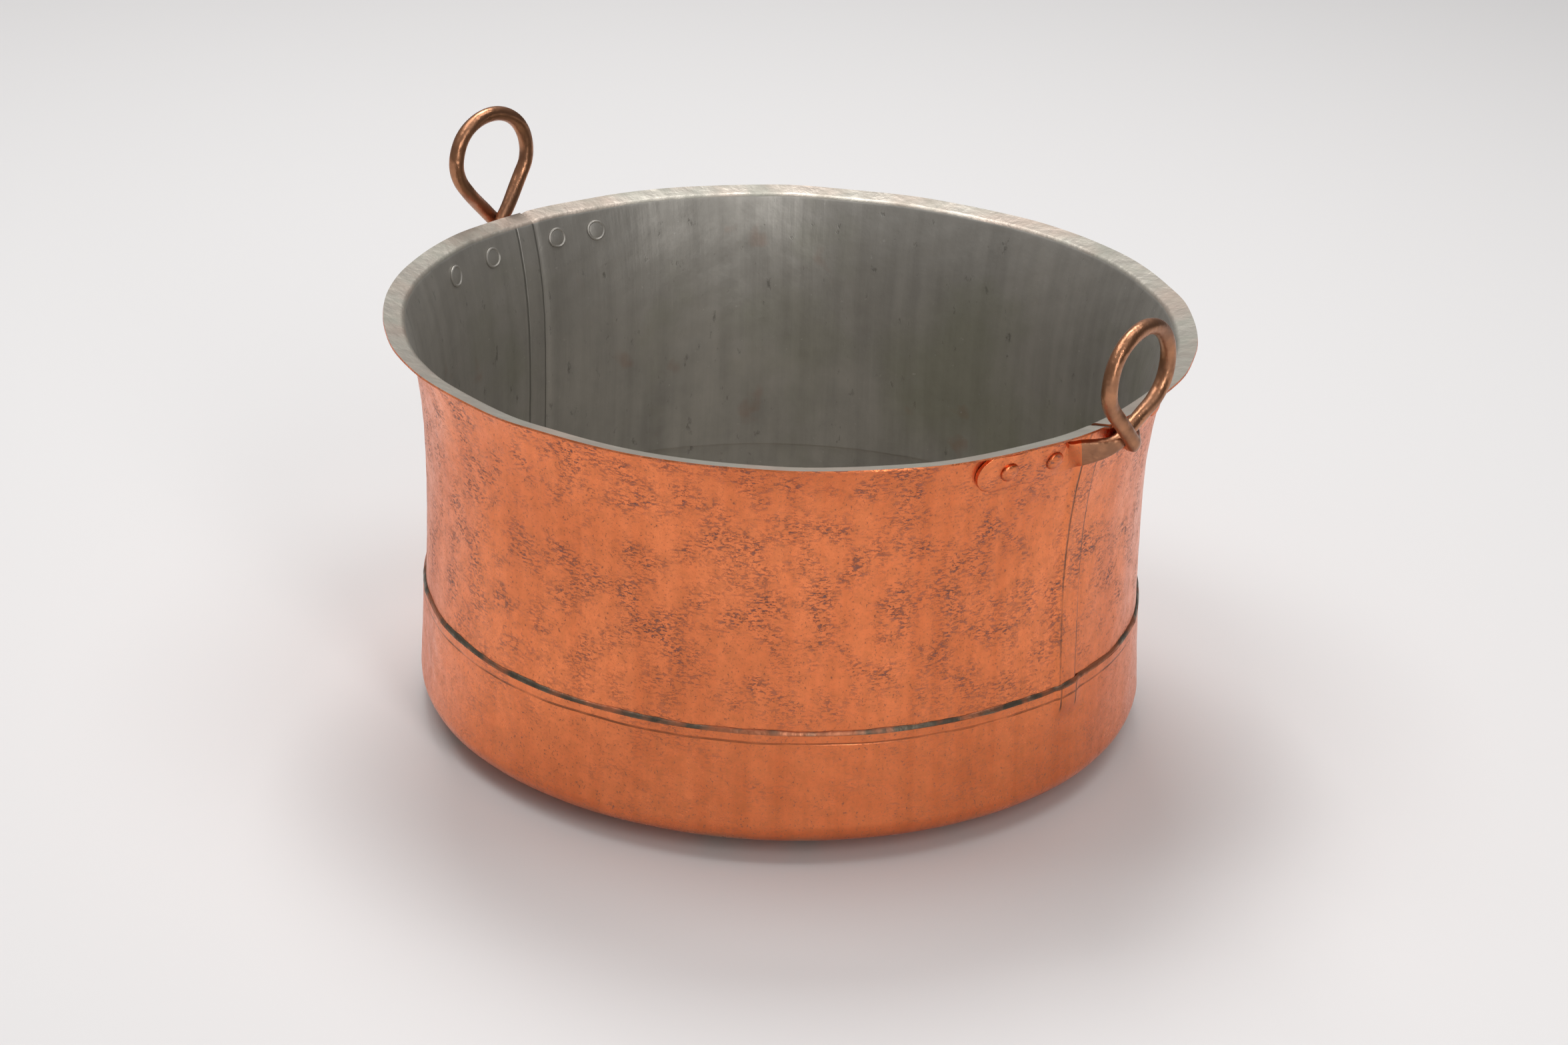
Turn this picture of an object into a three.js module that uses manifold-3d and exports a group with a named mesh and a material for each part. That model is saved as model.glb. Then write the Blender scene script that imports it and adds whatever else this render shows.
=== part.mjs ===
// A tinned copper tub. Two bent wall sheets lap at two upright seams, and stand in a dished base pan that
// goes up round their outside. The lip is turned out from the wall, and two forged bar handles are riveted
// under it. Millimetres, +Z up. The origin is on the tub's axis, at the level of the surface it stands on,
// and the handles lie on +X (right) and -X (left).

import * as THREE from "three";
import { mergeVertices } from "three/addons/utils/BufferGeometryUtils.js";
import loadManifold from "manifold-3d";

// Wall sheets: radii are to the outside of the sheet
const RIM_RADIUS = 265;
const RIM_HEIGHT = 276;
const WALL_THICKNESS = 1.2;
const WAIST_INSET = 27.3;
const WAIST_HEIGHT = 158;
const SHOULDER_FLARE = 14.1;
const SHOULDER_POWER = 2.6;
const FOOT_FLARE = 2.1;
const FOOT_POWER = 1.3;
const LIP_DEPTH = 5;
const LIP_RISE_DEG = 12;
const LIP_BEND_RADIUS = 5;

// Base pan
const PAN_THICKNESS = 1.5;
const PAN_HEIGHT = 89.4;
const PAN_LAP = 7;
const PAN_LEAN_DEG = 4.2;
const PAN_CORNER_RADIUS = 14;
const PAN_DISH_DEG = 12;
const PAN_FLAT_RADIUS = 117;
const PAN_SWELL_FADE = 14;
const PAN_SWELL_MARGIN = 2;

// Upright seams: the width of the lap, and the run in which the outer sheet steps out over the inner one
const SEAM_LAP = 15.8;
const SEAM_JOGGLE = 5.6;

// Solder
const BASE_SOLDER_WIDTH = 2;
const BASE_SOLDER_HEIGHT = 3;
const SEAM_SOLDER_WIDTH = 2;
const SEAM_SOLDER_TOP = 240;

// Handle bar and loop
const BAR_DIAMETER = 10;
const BAR_CROSSING_THICKNESS = 8.8;
const LOOP_HALF_WIDTH = 32.2;
const LOOP_HALF_HEIGHT = 30.1;
const LOOP_CENTRE_ABOVE_RIM = 40.8;
const CROSSING_BELOW_RIM = 5.8;
const LOOP_STANDOFF = 8;

// Handle pads
const PAD_HEIGHT = 25;
const PAD_THICKNESS = 3;
const PAD_BELOW_RIM = 18;
const PAD_HEEL = 10;
const PAD_TOE = 22;
const PAD_STANDOFF = 0.75;
const ARM_DROP = 16.5;

// Rivets
const RIVET_SHANK_DIAMETER = 5.2;
const RIVET_INNER_HEAD_DIAMETER = 11.5;
const RIVET_INNER_HEAD_HEIGHT = 1.5;
const RIVET_OUTER_HEAD_DIAMETER = 12;
const RIVET_OUTER_HEAD_HEIGHT = 2.8;
const RIVET_CHAMFER = 0.5;

// The gap that touching pieces keep, and the fineness of the round surfaces
const GAP = 0.3;
const STATION_STEP_DEG = 6;
const WALL_ROWS = 9;
const BEND_ROWS = 3;
const CORNER_ROWS = 4;
const DISH_ROWS = 2;
const BAR_SIDES = 10;
const RIVET_SIDES = 12;

// How each hand-made handle sits. Bearings and tilts are in degrees; shifts and the places of the rivets are
// in millimetres, counted anticlockwise round the wall from the handle's middle line. outerLeg is the side of
// the loop (+1 anticlockwise) whose leg crosses on the outside.
const HANDLES = [
  {
    name: "right",
    bearing: 0,
    lean: 2.3,
    twist: -2.3,
    skew: -9.45,
    shiftAcross: -2.1,
    shiftUp: -7.45,
    outerLeg: -1,
    rivets: [-74, -39.8, 39.8, 74],
  },
  {
    name: "left",
    bearing: 180,
    lean: 2.9,
    twist: 1.2,
    skew: -3.9,
    shiftAcross: 4.7,
    shiftUp: 1.8,
    outerLeg: 1,
    rivets: [-60.2, -26.5, 36.4, 83.5],
  },
];

// Worked out from the sizes above
const RAD = Math.PI / 180;
const WAIST_RADIUS = RIM_RADIUS - WAIST_INSET;
const WALL_TOP = RIM_HEIGHT - LIP_DEPTH;
const WALL_FOOT = PAN_HEIGHT - PAN_LAP;
const FOOT_RADIUS = WAIST_RADIUS + FOOT_FLARE;
const PAN_LAP_RADIUS = FOOT_RADIUS + GAP + PAN_THICKNESS;
const JOGGLE_STEP = WALL_THICKNESS + GAP;
const LAP_DEG = SEAM_LAP / 2 / FOOT_RADIUS / RAD;
const STEP_OUT_DEG = LAP_DEG + SEAM_JOGGLE / FOOT_RADIUS / RAD;
const FACET_DIP = RIM_RADIUS * (1 - Math.cos(STATION_STEP_DEG * RAD / 2));
const HOLE_RADIUS = RIVET_SHANK_DIAMETER / 2 + GAP;

const COPPER = { color: 0xc8693c, roughness: 0.35, metalness: 1 };
const TINNED = { color: 0x9b8f84, roughness: 0.5, metalness: 0.9 };
const HANDLE_COPPER = { color: 0x8a5a3c, roughness: 0.4, metalness: 1 };
const SOLDER = { color: 0x8f8a82, roughness: 0.55, metalness: 0.8 };

const manifold = await loadManifold();
manifold.setup();

// Meshes from rows of points

function signedVolume(position, index) {
  const a = new THREE.Vector3();
  const b = new THREE.Vector3();
  const c = new THREE.Vector3();
  let sum = 0;
  for (let i = 0; i < index.length; i += 3) {
    a.fromBufferAttribute(position, index[i]);
    b.fromBufferAttribute(position, index[i + 1]);
    c.fromBufferAttribute(position, index[i + 2]);
    sum += a.dot(b.cross(c));
  }
  return sum / 6;
}

// Joins equal points, drops the empty triangles that leaves, and turns the faces outwards.
function tidy(geometry) {
  geometry.deleteAttribute("normal");
  geometry.deleteAttribute("uv");
  const merged = mergeVertices(geometry);
  const all = merged.index.array;
  const index = [];
  for (let i = 0; i < all.length; i += 3) {
    const [a, b, c] = [all[i], all[i + 1], all[i + 2]];
    if (a !== b && b !== c && c !== a) index.push(a, b, c);
  }
  if (signedVolume(merged.getAttribute("position"), index) < 0) index.reverse();
  merged.setIndex(index);
  merged.computeVertexNormals();
  return merged;
}

// Skins a row of sections, each a ring of as many points. The skin closes on its first section, or is capped
// by a zigzag between the two sides of its end sections.
function skin(sections, closed) {
  const count = sections[0].length;
  const points = sections.flat();
  const index = [];
  const bands = closed ? sections.length : sections.length - 1;
  for (let s = 0; s < bands; s++) {
    const here = s * count;
    const next = ((s + 1) % sections.length) * count;
    for (let k = 0; k < count; k++) {
      const k1 = (k + 1) % count;
      index.push(here + k, here + k1, next + k1, here + k, next + k1, next + k);
    }
  }
  if (!closed) {
    const last = (sections.length - 1) * count;
    for (let i = 0, j = count - 1; i < j - 1; i++, j--) {
      index.push(i, j, i + 1, last + i, last + i + 1, last + j);
      if (i + 1 < j - 1) index.push(i + 1, j, j - 1, last + i + 1, last + j - 1, last + j);
    }
  }
  const geometry = new THREE.BufferGeometry();
  geometry.setAttribute("position", new THREE.Float32BufferAttribute(points.flatMap((p) => p.toArray()), 3));
  geometry.setIndex(index);
  return tidy(geometry);
}

function toSolid(geometry) {
  const mesh = new manifold.Mesh({
    numProp: 3,
    vertProperties: new Float32Array(geometry.getAttribute("position").array),
    triVerts: new Uint32Array(geometry.index.array),
  });
  return new manifold.Manifold(mesh);
}

function fromSolid(solid) {
  const mesh = solid.getMesh();
  const geometry = new THREE.BufferGeometry();
  geometry.setAttribute("position", new THREE.Float32BufferAttribute(mesh.vertProperties, 3));
  geometry.setIndex(Array.from(mesh.triVerts));
  return tidy(geometry);
}

// Places on the tub: an angle in degrees anticlockwise from +X, a radius and a height

function polar(degrees, radius, height) {
  return new THREE.Vector3(radius * Math.cos(degrees * RAD), radius * Math.sin(degrees * RAD), height);
}

// Angles where the round surfaces have their edges, the same for every piece, so that nested pieces keep an
// even gap. A seam lies at 0 and at 180 degrees.
function stationAngles(from, to) {
  const angles = [];
  for (const seam of [0, 180, 360]) {
    angles.push(seam - STEP_OUT_DEG, seam - LAP_DEG, seam + LAP_DEG, seam + STEP_OUT_DEG);
  }
  for (let a = STATION_STEP_DEG; a < 360; a += STATION_STEP_DEG) {
    if (Math.abs(a - 180) > STEP_OUT_DEG) angles.push(a);
  }
  const slack = 1e-6;
  return angles.filter((a) => a > from - slack && a < to + slack).sort((a, b) => a - b);
}

// How far a seam pushes outwards what lies over it, from 0 away from a seam to 1 on the lap.
function seamSwell(degrees) {
  const fromSeam = Math.abs(((degrees + 90) % 180) - 90);
  return THREE.MathUtils.clamp((STEP_OUT_DEG - fromSeam) / (STEP_OUT_DEG - LAP_DEG), 0, 1);
}

// A section's point: radius, height, and the direction straight out of the sheet
function edge(r, z, nr, nz) {
  return { r, z, nr, nz };
}

function shifted(point, out) {
  return { r: point.r + point.nr * out, z: point.z + point.nz * out };
}

// The wall: narrowest at the waist, flaring to the lip above it and a little to the base pan below it.
function wallRadius(z) {
  if (z >= WAIST_HEIGHT) {
    const up = (z - WAIST_HEIGHT) / (WALL_TOP - WAIST_HEIGHT);
    return WAIST_RADIUS + SHOULDER_FLARE * up ** SHOULDER_POWER;
  }
  const down = Math.min(1, (WAIST_HEIGHT - z) / (WAIST_HEIGHT - PAN_HEIGHT));
  return WAIST_RADIUS + FOOT_FLARE * down ** FOOT_POWER;
}

function wallPoint(z) {
  const reach = 0.01;
  const slope = (wallRadius(z + reach) - wallRadius(z - reach)) / (2 * reach);
  const length = Math.hypot(1, slope);
  return edge(wallRadius(z), z, 1 / length, -slope / length);
}

// Where the wall ends and the bend into the lip begins: the height at which a circle of the bend's radius
// touches both the wall and the underside of the lip.
function lipBend() {
  const rise = LIP_RISE_DEG * RAD;
  const radius = LIP_BEND_RADIUS - WALL_THICKNESS;
  const lipEdge = { r: RIM_RADIUS, z: RIM_HEIGHT - WALL_THICKNESS * Math.cos(rise) };
  let low = WAIST_HEIGHT;
  let high = RIM_HEIGHT;
  for (let i = 0; i < 50; i++) {
    const z = (low + high) / 2;
    const centre = shifted(wallPoint(z), radius);
    const under = (lipEdge.z - centre.z) * Math.cos(rise) - (lipEdge.r - centre.r) * Math.sin(rise);
    if (under > radius) low = z;
    else high = z;
  }
  const start = wallPoint(low);
  return { radius, start, centre: shifted(start, radius), lipEdge };
}

// Outside of a wall sheet from its foot to the edge of the lip.
function wallSection() {
  const bend = lipBend();
  const section = [];
  for (let i = 0; i < WALL_ROWS; i++) {
    const share = 1 - (1 - i / WALL_ROWS) ** 1.4;
    section.push(wallPoint(WALL_FOOT + (bend.start.z - WALL_FOOT) * share));
  }
  const first = Math.atan2(-bend.start.nz, bend.start.nr);
  const last = (90 - LIP_RISE_DEG) * RAD;
  for (let i = 0; i <= BEND_ROWS; i++) {
    const turn = first + (last - first) * i / BEND_ROWS;
    const [nr, nz] = [Math.cos(turn), -Math.sin(turn)];
    section.push(edge(bend.centre.r - bend.radius * nr, bend.centre.z - bend.radius * nz, nr, nz));
  }
  section.push(edge(bend.lipEdge.r, bend.lipEdge.z, Math.cos(last), -Math.sin(last)));
  return section;
}

// A wall sheet goes half round the tub. Its first end lies under the other sheet, and its second end is
// stepped out over it.
function wallSheet(from) {
  const section = wallSection();
  const angles = stationAngles(from - LAP_DEG, from + 180 + LAP_DEG);
  const rings = angles.map((degrees) => {
    const out = degrees > from + 90 ? seamSwell(degrees) * JOGGLE_STEP : 0;
    const outside = section.map((p) => shifted(p, out));
    const inside = section.map((p) => shifted(p, out - WALL_THICKNESS)).reverse();
    return [...outside, ...inside].map((p) => polar(degrees, p.r, p.z));
  });
  return skin(rings, false);
}

// Outside of the base pan from its top edge to the middle of its floor: a wall that leans in towards its top,
// a round corner, a dished ring as a parabola, and the flat that it stands on.
function panSection() {
  const lean = PAN_LEAN_DEG * RAD;
  const dish = PAN_DISH_DEG * RAD;
  const corner = PAN_CORNER_RADIUS;
  const halfLean = Math.tan(lean) / 2;
  const halfDish = Math.tan(dish) / 2;
  const reach = PAN_LAP_RADIUS + halfLean * PAN_HEIGHT - corner * (Math.cos(lean) - Math.sin(dish));
  const drop = corner * (Math.cos(dish) + Math.sin(lean));
  const cornerTop = (halfDish * (reach - PAN_FLAT_RADIUS) + drop) / (1 + halfDish * halfLean);
  const wallHeight = PAN_HEIGHT - cornerTop;
  const section = [];
  const swellEnd = WALL_FOOT - PAN_SWELL_MARGIN;
  const heights = [PAN_HEIGHT];
  for (let i = 0; i <= 3; i++) heights.push(swellEnd - PAN_SWELL_FADE * i / 3);
  heights.push((heights.at(-1) + cornerTop) / 2, cornerTop);
  for (const z of heights) {
    const down = (PAN_HEIGHT - z) / wallHeight;
    const slope = -Math.tan(lean) * down;
    const length = Math.hypot(1, slope);
    section.push(edge(PAN_LAP_RADIUS + halfLean * wallHeight * down ** 2, z, 1 / length, -slope / length));
  }
  const top = section.at(-1);
  const centre = { r: top.r - corner * Math.cos(lean), z: top.z - corner * Math.sin(lean) };
  for (let i = 1; i <= CORNER_ROWS; i++) {
    const turn = -lean + (Math.PI / 2 - dish + lean) * i / CORNER_ROWS;
    const [nr, nz] = [Math.cos(turn), -Math.sin(turn)];
    section.push(edge(centre.r + corner * nr, centre.z + corner * nz, nr, nz));
  }
  const rim = section.at(-1).r;
  for (let i = 1; i <= DISH_ROWS; i++) {
    const r = rim + (PAN_FLAT_RADIUS - rim) * i / DISH_ROWS;
    const slope = Math.tan(dish) * (r - PAN_FLAT_RADIUS) / (rim - PAN_FLAT_RADIUS);
    const length = Math.hypot(1, slope);
    section.push(edge(r, slope * (r - PAN_FLAT_RADIUS) / 2, slope / length, -1 / length));
  }
  section.push(edge(0, 0, 0, -1));
  return section;
}

// The pan swells out over each seam of the wall, and the swell fades below the foot of the sheets.
function basePan() {
  const section = panSection();
  const fadeTop = WALL_FOOT - PAN_SWELL_MARGIN;
  const rings = stationAngles(0, 360 - LAP_DEG).map((degrees) => {
    const swell = seamSwell(degrees) * JOGGLE_STEP;
    const out = (p) => swell * THREE.MathUtils.smoothstep(p.z, fadeTop - PAN_SWELL_FADE, fadeTop);
    const outside = section.map((p) => shifted(p, out(p)));
    const inside = section.map((p) => shifted(p, out(p) - PAN_THICKNESS)).reverse();
    return [...outside, ...inside].map((p) => polar(degrees, p.r, p.z));
  });
  return skin(rings, true);
}

// A three-sided ring of solder on the pan's top edge, against the wall.
function baseSolder() {
  const rings = stationAngles(0, 360 - LAP_DEG).map((degrees) => {
    const out = seamSwell(degrees) * JOGGLE_STEP;
    const foot = PAN_HEIGHT + GAP;
    const inner = FOOT_RADIUS + GAP + out;
    const topRadius = wallRadius(foot + BASE_SOLDER_HEIGHT) + GAP + out;
    return [
      polar(degrees, inner, foot),
      polar(degrees, inner + BASE_SOLDER_WIDTH, foot),
      polar(degrees, topRadius, foot + BASE_SOLDER_HEIGHT),
    ];
  });
  return skin(rings, true);
}

// A three-sided strip of solder up the corner between the outer sheet's end and the inner sheet.
function seamSolder(seam) {
  const facet = FOOT_RADIUS * (STEP_OUT_DEG - LAP_DEG) * RAD;
  const along = (distance, p) => {
    const share = distance / facet;
    return polar(seam + LAP_DEG, p.r, p.z).lerp(polar(seam + STEP_OUT_DEG, p.r, p.z), share);
  };
  const bottom = PAN_HEIGHT + BASE_SOLDER_HEIGHT + 2 * GAP;
  const rings = [];
  for (let i = 0; i <= WALL_ROWS; i++) {
    const p = wallPoint(bottom + (SEAM_SOLDER_TOP - bottom) * i / WALL_ROWS);
    rings.push([
      along(GAP, shifted(p, GAP)),
      along(GAP + SEAM_SOLDER_WIDTH, shifted(p, GAP)),
      along(GAP, shifted(p, WALL_THICKNESS + GAP)),
    ]);
  }
  return skin(rings, false);
}

// Handles

const PAD_Z = RIM_HEIGHT - PAD_BELOW_RIM;
const PAD_RADIUS = wallRadius(PAD_Z);

// The place on the wall at a distance round it from a handle's middle line, and out from its surface.
function onWall(handle, around, out) {
  const degrees = handle.bearing + around / PAD_RADIUS / RAD;
  const p = shifted(wallPoint(PAD_Z), out);
  return polar(degrees, p.r, p.z);
}

function wallOutward(handle, around) {
  const degrees = handle.bearing + around / PAD_RADIUS / RAD;
  const p = wallPoint(PAD_Z);
  return polar(degrees, p.nr, p.nz);
}

// The loop stands in a plane outside the lip: across is anticlockwise, up is from the top of the rim, and out
// is from the edge of the lip. The whole loop is turned in that plane by its skew, leans and twists.
function loopPlace(handle, across, up, out) {
  const skew = handle.skew * RAD;
  const u = across * Math.cos(skew) - up * Math.sin(skew) + handle.shiftAcross;
  const v = across * Math.sin(skew) + up * Math.cos(skew) + handle.shiftUp;
  const w = out + v * Math.tan(handle.lean * RAD) + u * Math.tan(handle.twist * RAD);
  const place = new THREE.Vector3(RIM_RADIUS + w, u, RIM_HEIGHT + v);
  return place.applyAxisAngle(new THREE.Vector3(0, 0, 1), handle.bearing * RAD);
}

// A stop on the bar: its place, the side that faces out, and its half height, half thickness and squareness.
function stop(place, out, halfHeight, halfThickness, square) {
  return { place, out, halfHeight, halfThickness, square };
}

// One pad, from its toe to its heel. side is -1 for the clockwise pad.
function padStops(handle, side) {
  const [inner, outer] = side < 0 ? [handle.rivets[1], handle.rivets[0]] : [handle.rivets[2], handle.rivets[3]];
  const heel = inner - side * PAD_HEEL;
  const toe = outer + side * PAD_TOE;
  const half = PAD_HEIGHT / 2;
  const stops = [];
  const put = (around, halfHeight, square) => {
    const place = onWall(handle, around, PAD_STANDOFF + PAD_THICKNESS / 2);
    stops.push(stop(place, wallOutward(handle, around), halfHeight, PAD_THICKNESS / 2, square));
  };
  for (const turn of [12, 40, 65]) {
    put(toe - side * half * (1 - Math.cos(turn * RAD)), half * Math.sin(turn * RAD), 6);
  }
  const straight = toe - side * half;
  const steps = Math.ceil(Math.abs(straight - heel) / half);
  for (let i = 0; i <= steps; i++) put(straight + (heel - straight) * i / steps, half, 12);
  return stops;
}

// The bar from one pad, up the far leg, round the loop, down the near leg and into the other pad.
function barStops(handle) {
  const round = BAR_DIAMETER / 2;
  const thin = BAR_CROSSING_THICKNESS / 2;
  const innerOut = thin + GAP;
  const outerOut = innerOut + BAR_CROSSING_THICKNESS + GAP;
  const faceOut = new THREE.Vector3(1, 0, 0).applyAxisAngle(new THREE.Vector3(0, 0, 1), handle.bearing * RAD);
  const centre = LOOP_CENTRE_ABOVE_RIM;
  const crossing = -CROSSING_BELOW_RIM;
  const drop = centre - crossing;
  const touch = Math.asin(LOOP_HALF_HEIGHT / drop);
  const legTop = { across: LOOP_HALF_WIDTH * Math.cos(touch), up: centre - LOOP_HALF_HEIGHT * Math.sin(touch) };
  // A leg rises from the crossing to the loop. side is the side of the loop that it joins.
  const leg = (side) => {
    const out = side === handle.outerLeg ? outerOut : innerOut;
    return [0, 0.3, 0.65].map((share) => {
      const w = out + (LOOP_STANDOFF - out) * share ** 1.5;
      const half = thin + (round - thin) * share;
      const place = loopPlace(handle, side * legTop.across * share, crossing + (legTop.up - crossing) * share, w);
      return stop(place, faceOut, round, half, 2);
    });
  };
  const loop = [];
  for (let i = 0; i <= 12; i++) {
    const turn = -touch + (Math.PI + 2 * touch) * i / 12;
    const place = loopPlace(
      handle,
      LOOP_HALF_WIDTH * Math.cos(turn),
      centre + LOOP_HALF_HEIGHT * Math.sin(turn),
      LOOP_STANDOFF,
    );
    loop.push(stop(place, faceOut, round, round, 2));
  }
  // An arm runs from the crossing, in under the lip, and flattens into the heel of its pad.
  const arm = (side) => {
    const out = side === -handle.outerLeg ? outerOut : innerOut;
    const from = loopPlace(handle, 0, crossing, out);
    const heelStop = padStops(handle, side).at(-1);
    return [0.22, 0.5, 0.78].map((share) => {
      const place = from.clone().lerp(heelStop.place, share);
      const sag = Math.sin(Math.PI * share);
      place.z -= sag * Math.max(0, place.z - PAD_Z) * 0.3;
      place.addScaledVector(faceOut, sag * 3);
      const facing = faceOut.clone().lerp(heelStop.out, share).normalize();
      const grow = share ** 1.5;
      return stop(
        place,
        facing,
        round + (PAD_HEIGHT / 2 - round) * grow,
        thin + (PAD_THICKNESS / 2 - thin) * share,
        2 + 6 * grow,
      );
    });
  };
  return [
    ...padStops(handle, -1),
    ...arm(-1).reverse(),
    ...leg(1),
    ...loop,
    ...leg(-1).reverse(),
    ...arm(1),
    ...padStops(handle, 1).reverse(),
  ];
}

function handleBar(handle) {
  const stops = barStops(handle);
  const curve = new THREE.CatmullRomCurve3(stops.map((s) => s.place), false, "centripetal");
  const rings = [];
  const spans = stops.length - 1;
  for (let i = 0; i <= spans; i++) {
    const parts = i < spans ? 2 : 1;
    for (let j = 0; j < parts; j++) {
      const share = j / parts;
      const [a, b] = [stops[i], stops[Math.min(i + 1, spans)]];
      const t = (i + share) / spans;
      const mix = (key) => a[key] + (b[key] - a[key]) * share;
      const tangent = curve.getTangent(t);
      const out = a.out.clone().lerp(b.out, share);
      out.addScaledVector(tangent, -out.dot(tangent)).normalize();
      const up = new THREE.Vector3().crossVectors(out, tangent);
      const centre = curve.getPoint(t);
      const ring = [];
      for (let k = 0; k < BAR_SIDES; k++) {
        const turn = 2 * Math.PI * (k + 0.5) / BAR_SIDES;
        const round = (x) => Math.sign(x) * Math.abs(x) ** (2 / mix("square"));
        ring.push(centre.clone()
          .addScaledVector(up, mix("halfHeight") * round(Math.sin(turn)))
          .addScaledVector(out, mix("halfThickness") * round(Math.cos(turn))));
      }
      rings.push(ring);
    }
  }
  return skin(rings, false);
}

// A rivet along +Z with its origin on the outside of the wall: flat head inside, domed head on the pad.
function rivet() {
  const shank = RIVET_SHANK_DIAMETER / 2;
  const inner = RIVET_INNER_HEAD_DIAMETER / 2;
  const outer = RIVET_OUTER_HEAD_DIAMETER / 2;
  const innerFace = -(WALL_THICKNESS + FACET_DIP + GAP);
  const outerFace = PAD_STANDOFF + PAD_THICKNESS + GAP;
  const innerEnd = innerFace - RIVET_INNER_HEAD_HEIGHT;
  const profile = [
    [0, innerEnd],
    [inner - RIVET_CHAMFER, innerEnd],
    [inner, innerEnd + RIVET_CHAMFER],
    [inner, innerFace],
    [shank, innerFace],
    [shank, outerFace],
    [outer, outerFace],
  ];
  for (const turn of [25, 55, 90]) {
    profile.push([outer * Math.cos(turn * RAD), outerFace + RIVET_OUTER_HEAD_HEIGHT * Math.sin(turn * RAD)]);
  }
  profile.at(-1)[0] = 0;
  return tidy(new THREE.LatheGeometry(profile.map(([r, z]) => new THREE.Vector2(r, z)), RIVET_SIDES));
}

// Rivets are made along Y by the lathe, so their own axis is turned from +Y to the way out of the wall.
function rivetPose(handle, around) {
  const turn = new THREE.Quaternion().setFromUnitVectors(
    new THREE.Vector3(0, 1, 0),
    wallOutward(handle, around).normalize(),
  );
  return { place: onWall(handle, around, 0), turn };
}

function rivetHoles() {
  const reach = 4 * (WALL_THICKNESS + PAD_STANDOFF + PAD_THICKNESS);
  const holes = [];
  for (const handle of HANDLES) {
    for (const around of handle.rivets) {
      const { place, turn } = rivetPose(handle, around);
      const hole = new THREE.CylinderGeometry(HOLE_RADIUS, HOLE_RADIUS, reach, RIVET_SIDES);
      hole.applyQuaternion(turn);
      hole.translate(place.x, place.y, place.z);
      holes.push(toSolid(tidy(hole)));
    }
  }
  return holes;
}

function drilled(geometry, holes) {
  let solid = toSolid(geometry);
  for (const hole of holes) solid = solid.subtract(hole);
  return fromSolid(solid);
}

// The assembly

const tub = new THREE.Group();
tub.name = "copper_tub";

function add(name, geometry, finish) {
  const mesh = new THREE.Mesh(geometry, new THREE.MeshStandardMaterial(finish));
  mesh.name = name;
  tub.add(mesh);
  return mesh;
}

const holes = rivetHoles();
add("base_pan", basePan(), COPPER);
add("wall_sheet_back", drilled(wallSheet(0), holes), COPPER);
add("wall_sheet_front", drilled(wallSheet(180), holes), COPPER);
add("base_solder", baseSolder(), SOLDER);
add("seam_solder_right", seamSolder(0), SOLDER);
add("seam_solder_left", seamSolder(180), SOLDER);
for (const handle of HANDLES) {
  add(`handle_${handle.name}`, drilled(handleBar(handle), holes), HANDLE_COPPER);
  handle.rivets.forEach((around, i) => {
    const mesh = add(`rivet_${handle.name}_${i + 1}`, rivet(), TINNED);
    const { place, turn } = rivetPose(handle, around);
    mesh.position.copy(place);
    mesh.quaternion.copy(turn);
  });
}

export default tub;
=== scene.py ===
"""A hand-made copper tub, tinned inside: its fine surfaces, finishes, light and camera."""

from __future__ import annotations

import logging
import math
from dataclasses import dataclass
from enum import IntEnum
from typing import Any

import bmesh
import bpy
import numpy as np
from mathutils import Matrix, Vector


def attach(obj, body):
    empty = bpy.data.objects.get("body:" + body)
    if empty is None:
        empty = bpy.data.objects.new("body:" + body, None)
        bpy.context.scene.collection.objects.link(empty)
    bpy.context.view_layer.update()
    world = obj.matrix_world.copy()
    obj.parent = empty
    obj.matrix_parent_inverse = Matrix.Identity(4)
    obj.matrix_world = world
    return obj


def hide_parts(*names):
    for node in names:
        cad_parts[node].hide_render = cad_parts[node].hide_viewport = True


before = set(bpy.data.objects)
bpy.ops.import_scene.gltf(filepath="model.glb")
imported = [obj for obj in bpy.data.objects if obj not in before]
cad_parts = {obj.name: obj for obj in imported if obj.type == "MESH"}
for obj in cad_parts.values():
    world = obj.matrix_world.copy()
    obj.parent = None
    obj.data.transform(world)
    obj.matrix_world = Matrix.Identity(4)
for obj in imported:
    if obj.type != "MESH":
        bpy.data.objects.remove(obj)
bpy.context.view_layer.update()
MM = 0.001
RAD = math.pi / 180
log = logging.getLogger("tub")

Array = np.ndarray


class Skin(IntEnum):
    """Which finish a face of a sheet, the pan or a rivet has."""

    COPPER = 0
    TIN = 1
    LIP = 2


class Grip(IntEnum):
    """Which finish a face of a handle has."""

    BAR = 0
    PAD = 1


class Sock:
    """A shader value or colour socket that Python operators can work on."""

    def __init__(self, graph: "Graph", socket: Any) -> None:
        """Holds a socket of a graph."""
        self.graph = graph
        self.socket = socket

    def _math(self, operation: str, *values: Any) -> "Sock":
        """Adds one Math node and returns its value."""
        return self.graph.math(operation, *values)

    def __add__(self, other: Any) -> "Sock":
        """This plus the other."""
        return self._math("ADD", self, other)

    def __radd__(self, other: Any) -> "Sock":
        """The other plus this."""
        return self._math("ADD", other, self)

    def __sub__(self, other: Any) -> "Sock":
        """This minus the other."""
        return self._math("SUBTRACT", self, other)

    def __rsub__(self, other: Any) -> "Sock":
        """The other minus this."""
        return self._math("SUBTRACT", other, self)

    def __mul__(self, other: Any) -> "Sock":
        """This times the other."""
        return self._math("MULTIPLY", self, other)

    def __rmul__(self, other: Any) -> "Sock":
        """The other times this."""
        return self._math("MULTIPLY", other, self)


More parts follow.
